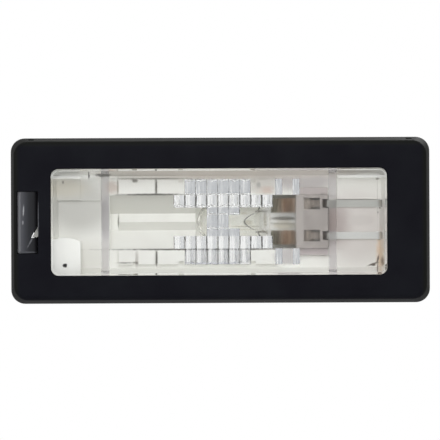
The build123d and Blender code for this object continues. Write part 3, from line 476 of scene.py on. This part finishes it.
def tinnedBronze():  # phosphor bronze strip: olive to copper with drawn streaks at the clips, tinned beyond, and near white through the holder's windows as painted light
    look = {
        "surface": {"Roughness": 0.42, "Metallic": 1.0},
        "grain": (0.4 * mm, 0.002 * mm),
        "streak": 0.35 * mm,
        "streakLength": 4 * mm,
        "streakColours": ("#A9A19A", "#FFFFFF"),
        "from": 12.0,  # mm right of the lens's middle, as are the next three
        "to": 27.0,
        "fresh": 20.0,  # where the streaks start to fade
        "platingAndLight": (
            (12.4, "#9E9986"),
            (13.8, "#A89A88"),
            (14.8, "#AD8B71"),
            (16.6, "#C4AA90"),
            # painted light: near white where the strip lies in shade behind the holder's windows
            (18.0, "#F2E4D8"),
            (23.4, "#F2E6DC"),
            (24.4, "#F0EDE9"),
            (25.4, "#F6F5F2"),
        ),
        "spots": {"dullStrip": ("#DAD9D4", 31.6, 4.0, 6.6, 1.6, 0.3, 0)},
    }
    material, tree, shader, place = startMaterial("tinnedBronze", look["surface"])
    axes = addNode(tree, "ShaderNodeSeparateXYZ", {"Vector": place}).outputs
    start, end = opticX + look["from"] * mm, opticX + look["to"] * mm
    span = {"Value": axes["X"], "From Min": start, "From Max": end}
    along = addNode(tree, "ShaderNodeMapRange", span)
    platingAndLight = addNode(tree, "ShaderNodeValToRGB", {"Fac": along.outputs[0]})
    length = look["to"] - look["from"]
    fillRamp(platingAndLight.color_ramp, [((x - look["from"]) / length, colour) for x, colour in look["platingAndLight"]])
    plated = laySpots(tree, place, platingAndLight.outputs[0], look["spots"])
    drawn = (1 / look["streak"], 1 / look["streakLength"], 1 / look["streakLength"])
    stretched = addNode(tree, "ShaderNodeMapping", {"Vector": place, "Scale": drawn})
    streaks = mottle(tree, stretched.outputs[0], 1.0, *look["streakColours"])
    worn = addNode(tree, "ShaderNodeMapRange", {**span, "From Min": opticX + look["fresh"] * mm, **falling})
    layers = {mixShare: worn.outputs[0], mixUnder: plated, mixOver: streaks}
    tint = addNode(tree, "ShaderNodeMix", layers, data_type="RGBA", blend_type="MULTIPLY")
    tree.links.new(tint.outputs[mixColour], shader.inputs["Base Color"])
    grain(tree, shader, place, *look["grain"])
    return material


def drawnMetal(name, low, high, roughness):  # drawn wire: dull metal, faintly mottled
    look = {"surface": {"Roughness": roughness, "Metallic": 1.0}, "cloud": (0.6 * mm, low, high)}
    material, tree, shader, place = startMaterial(name, look["surface"])
    tree.links.new(mottle(tree, place, *look["cloud"]), shader.inputs["Base Color"])
    return material


def finishPiece(piece, nodeName, material):
    piece.data.materials.append(material)
    bpy.context.scene.collection.objects.link(piece)
    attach(piece, "root")
    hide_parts(nodeName)


def dressNode(nodeName, pieceName, material, edge=0):  # merged copy of a node, edges softened
    dress = {"merge": 0.002 * mm, "flat": 1, "crease": 32, "corner": 40, "segments": 2}  # angles in degrees
    flat = math.radians(dress["flat"])
    crease = math.radians(dress["crease"])
    bm = bmesh.new()
    bm.from_mesh(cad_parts[nodeName].data)
    bmesh.ops.remove_doubles(bm, verts=bm.verts, dist=dress["merge"])
    bmesh.ops.dissolve_limit(bm, angle_limit=flat, verts=bm.verts, edges=bm.edges, delimit={"NORMAL"})
    for face in bm.faces:
        face.smooth = True
    for rim in bm.edges:
        rim.smooth = rim.calc_face_angle(0) < crease
    mesh = bpy.data.meshes.new(pieceName)
    bm.to_mesh(mesh)
    bm.free()
    piece = bpy.data.objects.new(pieceName, mesh)
    if edge:
        soften = piece.modifiers.new("softEdges", "BEVEL")
        soften.width = edge
        soften.segments = dress["segments"]
        soften.limit_method = "ANGLE"
        soften.angle_limit = math.radians(dress["corner"])
        soften.harden_normals = True
    finishPiece(piece, nodeName, material)
    return piece


def filamentCoil():  # tungsten wire wound into a coil, bowed between the lead wires
    coil = {
        "wire": 0.05 * mm,  # its radius
        "sides": 6,
        "radius": 0.2 * mm,
        "turns": 15,
        "steps": 12,  # in each turn
        "bow": 2.3 * mm,
        "metal": {"low": "#55555A", "high": "#77777B", "roughness": 0.4},
    }
    low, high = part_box("bulb_filament")
    half = (high.z - low.z) / 2 - coil["wire"]
    middle = Vector((high.x - coil["radius"], (low.y + high.y) / 2, (low.z + high.z) / 2))
    origin = (0, 0, 0)
    alongWire = Vector((0, 1, 0)).to_track_quat("Z", "Y").to_matrix()
    bm = bmesh.new()
    ring = bmesh.ops.create_circle(bm, segments=coil["sides"], radius=coil["wire"])["verts"]
    bmesh.ops.rotate(bm, verts=ring, cent=origin, matrix=alongWire)
    bmesh.ops.translate(bm, verts=ring, vec=(coil["radius"], 0, -half))
    stepCount = coil["turns"] * coil["steps"]
    winding = {
        "cent": origin,
        "axis": (0, 0, 1),
        "dvec": Vector((0, 0, 2 * half / stepCount)),
        "angle": 2 * math.pi * coil["turns"],
        "steps": stepCount,
    }
    bmesh.ops.spin(bm, geom=bm.edges[:], use_duplicate=False, **winding)
    bmesh.ops.holes_fill(bm, edges=[rim for rim in bm.edges if rim.is_boundary])
    bmesh.ops.recalc_face_normals(bm, faces=bm.faces)
    for vert in bm.verts:  # bow the straight coil
        vert.co.x -= coil["bow"] * (1 - (vert.co.z / half) ** 2)
    bmesh.ops.translate(bm, verts=bm.verts, vec=middle)
    for face in bm.faces:
        face.smooth = True
    mesh = bpy.data.meshes.new("filamentCoil")
    bm.to_mesh(mesh)
    bm.free()
    piece = bpy.data.objects.new("filamentCoil", mesh)
    finishPiece(piece, "bulb_filament", drawnMetal("tungsten", **coil["metal"]))


mouldedEdge = 0.15 * mm  # how far edges are softened
stampedEdge = 0.05 * mm
lens = dressNode("lens", "lensMoulding", clearAcrylic())
bulb = dressNode("bulb_envelope", "bulbGlass", sodaGlass())
for clearPiece in (lens, bulb):  # no shadow, and bounced light passes, so the tray is lit as through air
    clearPiece.visible_shadow = False
    clearPiece.visible_diffuse = False
dressNode("bezel", "bezelMoulding", blackAbs())
dressNode("housing", "housingMoulding", offWhite(), mouldedEdge)
dressNode("latch_spring", "latchTongue", blackAcetal(), mouldedEdge)
dressNode("bulb_holder", "holderBlock", lavenderPolyamide(), mouldedEdge)
bronze = tinnedBronze()
dressNode("upper_contact", "upperContactStrip", bronze, stampedEdge)
dressNode("lower_contact", "lowerContactStrip", bronze, stampedEdge)
leads = {"low": "#8F8C86", "high": "#B5B2AC", "roughness": 0.3}
dressNode("bulb_lead_wires", "leadWires", drawnMetal("nickelWire", **leads))
filamentCoil()
print("pieces dressed")

view = {
    "focal": 600,  # mm, as is the sensor
    "sensor": 36,
    "bezelSpan": 418.6,  # photo pixels, as are the next three
    "side": 440,
    "offX": 0.3,
    "offY": 0.3,
    "roll": 0.25,  # degrees
    "clip": 0.01,  # metres
}
frameSpan = (bezelHigh.x - bezelLow.x) * view["side"] / view["bezelSpan"]
distance = frameSpan * view["focal"] / view["sensor"]
pixel = frameSpan / view["side"]
camera = bpy.data.objects.new("camera", bpy.data.cameras.new("camera"))
bpy.context.scene.collection.objects.link(camera)
camera.data.lens = view["focal"]
camera.data.sensor_width = view["sensor"]
camera.data.clip_start = view["clip"]
camera.location = (-view["offX"] * pixel, bezelHigh.y - distance, view["offY"] * pixel)
camera.rotation_euler = (math.pi / 2, math.radians(view["roll"]), 0)
bpy.context.scene.camera = camera
print("camera placed")


def studioWorld():  # white to the eye, a soft grey room to the surfaces, bright cards to the clear optics
    room = {
        "below": 0.12,  # brightness straight down, and then straight up
        "above": 0.6,
        "reach": 0.4,  # heading of the outermost cards to each side
        "cards": (
            (0.0, "#8E9096"),
            (0.2, "#EBECED"),
            (0.45, "#C0C2C6"),
            (0.55, "#C4C6C9"),
            (0.72, "#FFFFFF"),
        ),
        "cardEnd": {"From Min": -0.7, "From Max": -0.5},  # heading where the cards give way to white
        "mirrored": {"From Min": 0.94, "From Max": 0.99},  # heading of the white that glossy faces show
    }
    white = linear("#FFFFFF")
    world = bpy.data.worlds.new("studio")
    world.use_nodes = True
    bpy.context.scene.world = world
    tree = world.node_tree
    rays = addNode(tree, "ShaderNodeLightPath").outputs
    glossy, clear, eye = rays["Is Glossy Ray"], rays["Is Transmission Ray"], rays["Is Camera Ray"]
    heading = addNode(tree, "ShaderNodeTexCoord").outputs["Generated"]
    axes = addNode(tree, "ShaderNodeSeparateXYZ", {"Vector": heading}).outputs
    slope = {"Value": axes["Z"], "From Min": -1.0, "To Min": room["below"], "To Max": room["above"]}
    grey = addNode(tree, "ShaderNodeMapRange", slope).outputs[0]
    spread = {"Value": axes["X"], "From Min": -room["reach"], "From Max": room["reach"]}
    across = addNode(tree, "ShaderNodeMapRange", spread)
    cards = addNode(tree, "ShaderNodeValToRGB", {"Fac": across.outputs[0]})
    fillRamp(cards.color_ramp, room["cards"])
    beyond = addNode(tree, "ShaderNodeMapRange", {"Value": axes["Y"], **room["cardEnd"]}).outputs[0]
    rear = addNode(tree, "ShaderNodeMapRange", {"Value": axes["Y"], **room["mirrored"]}).outputs[0]
    shiny = addNode(tree, "ShaderNodeMath", {0: glossy, 1: rear}, operation="MULTIPLY").outputs[0]
    through = {mixShare: beyond, mixUnder: cards.outputs[0], mixOver: white}
    optics = addNode(tree, "ShaderNodeMix", through, data_type="RGBA").outputs[mixColour]
    seen = grey
    for share, over in ((shiny, white), (clear, optics), (eye, white)):
        layers = {mixShare: share, mixUnder: seen, mixOver: over}
        seen = addNode(tree, "ShaderNodeMix", layers, data_type="RGBA").outputs[mixColour]
    tree.links.new(seen, tree.nodes["Background"].inputs["Color"])


def paleFloor():  # paper, white to the camera apart from the object's soft shadow
    floor = {
        "half": 1.2,  # metres, as is the level
        "level": -0.25,
        "glow": 0.9,  # share of plain white that the camera sees
        "cloud": (40 * mm, "#D6D6D4", "#DCDCDA"),
        "surface": {"Roughness": 0.8},
    }
    bm = bmesh.new()
    bmesh.ops.create_grid(bm, x_segments=1, y_segments=1, size=floor["half"])
    bmesh.ops.translate(bm, verts=bm.verts, vec=(0, 0, floor["level"]))
    mesh = bpy.data.meshes.new("floor")
    bm.to_mesh(mesh)
    bm.free()
    piece = bpy.data.objects.new("floor", mesh)
    bpy.context.scene.collection.objects.link(piece)
    material, tree, shader, place = startMaterial("palePaper", floor["surface"])
    tree.links.new(mottle(tree, place, *floor["cloud"]), shader.inputs["Base Color"])
    toCamera = addNode(tree, "ShaderNodeLightPath").outputs["Is Camera Ray"]
    glow = addNode(tree, "ShaderNodeEmission", {"Color": linear("#FFFFFF"), "Strength": 1.0})
    share = addNode(tree, "ShaderNodeMath", {0: toCamera, 1: floor["glow"]}, operation="MULTIPLY")
    shaders = {0: share.outputs[0], 1: shader.outputs[0], 2: glow.outputs[0]}
    mix = addNode(tree, "ShaderNodeMixShader", shaders)
    tree.links.new(mix.outputs[0], tree.nodes["Material Output"].inputs["Surface"])
    mesh.materials.append(material)


def addLamp(name, place, size, power, mirrored=True):
    lamp = bpy.data.objects.new(name, bpy.data.lights.new(name, "AREA"))
    lamp.data.shape = "RECTANGLE"
    lamp.data.size, lamp.data.size_y = size
    lamp.data.energy = power
    lamp.location = place
    lamp.rotation_euler = (-Vector(place)).to_track_quat("-Z", "Y").to_euler()
    lamp.visible_transmission = False  # the clear optics show the world's soft cards, not the lamps
    lamp.visible_glossy = mirrored  # the one straight ahead would lay a veil on the lens
    bpy.context.scene.collection.objects.link(lamp)


lamps = {  # places and sizes in metres, power in watts
    "keySoftbox": {"place": (0.05, -0.54, 0.33), "size": (0.6, 0.3), "power": 1.25},
    "frontSoftbox": {"place": (0.0, -0.7, 0.03), "size": (0.5, 0.3), "power": 1.65, "mirrored": False},
    "fillSoftbox": {"place": (-0.55, -0.45, 0.05), "size": (0.3, 0.4), "power": 0.4},
    "backSoftbox": {"place": (0.3, 0.6, 0.45), "size": (0.5, 0.3), "power": 1.3},
}
studioWorld()
paleFloor()
for name, lamp in lamps.items():
    addLamp(name, **lamp)
bpy.context.scene.view_settings.view_transform = "Standard"
print("studio lit")
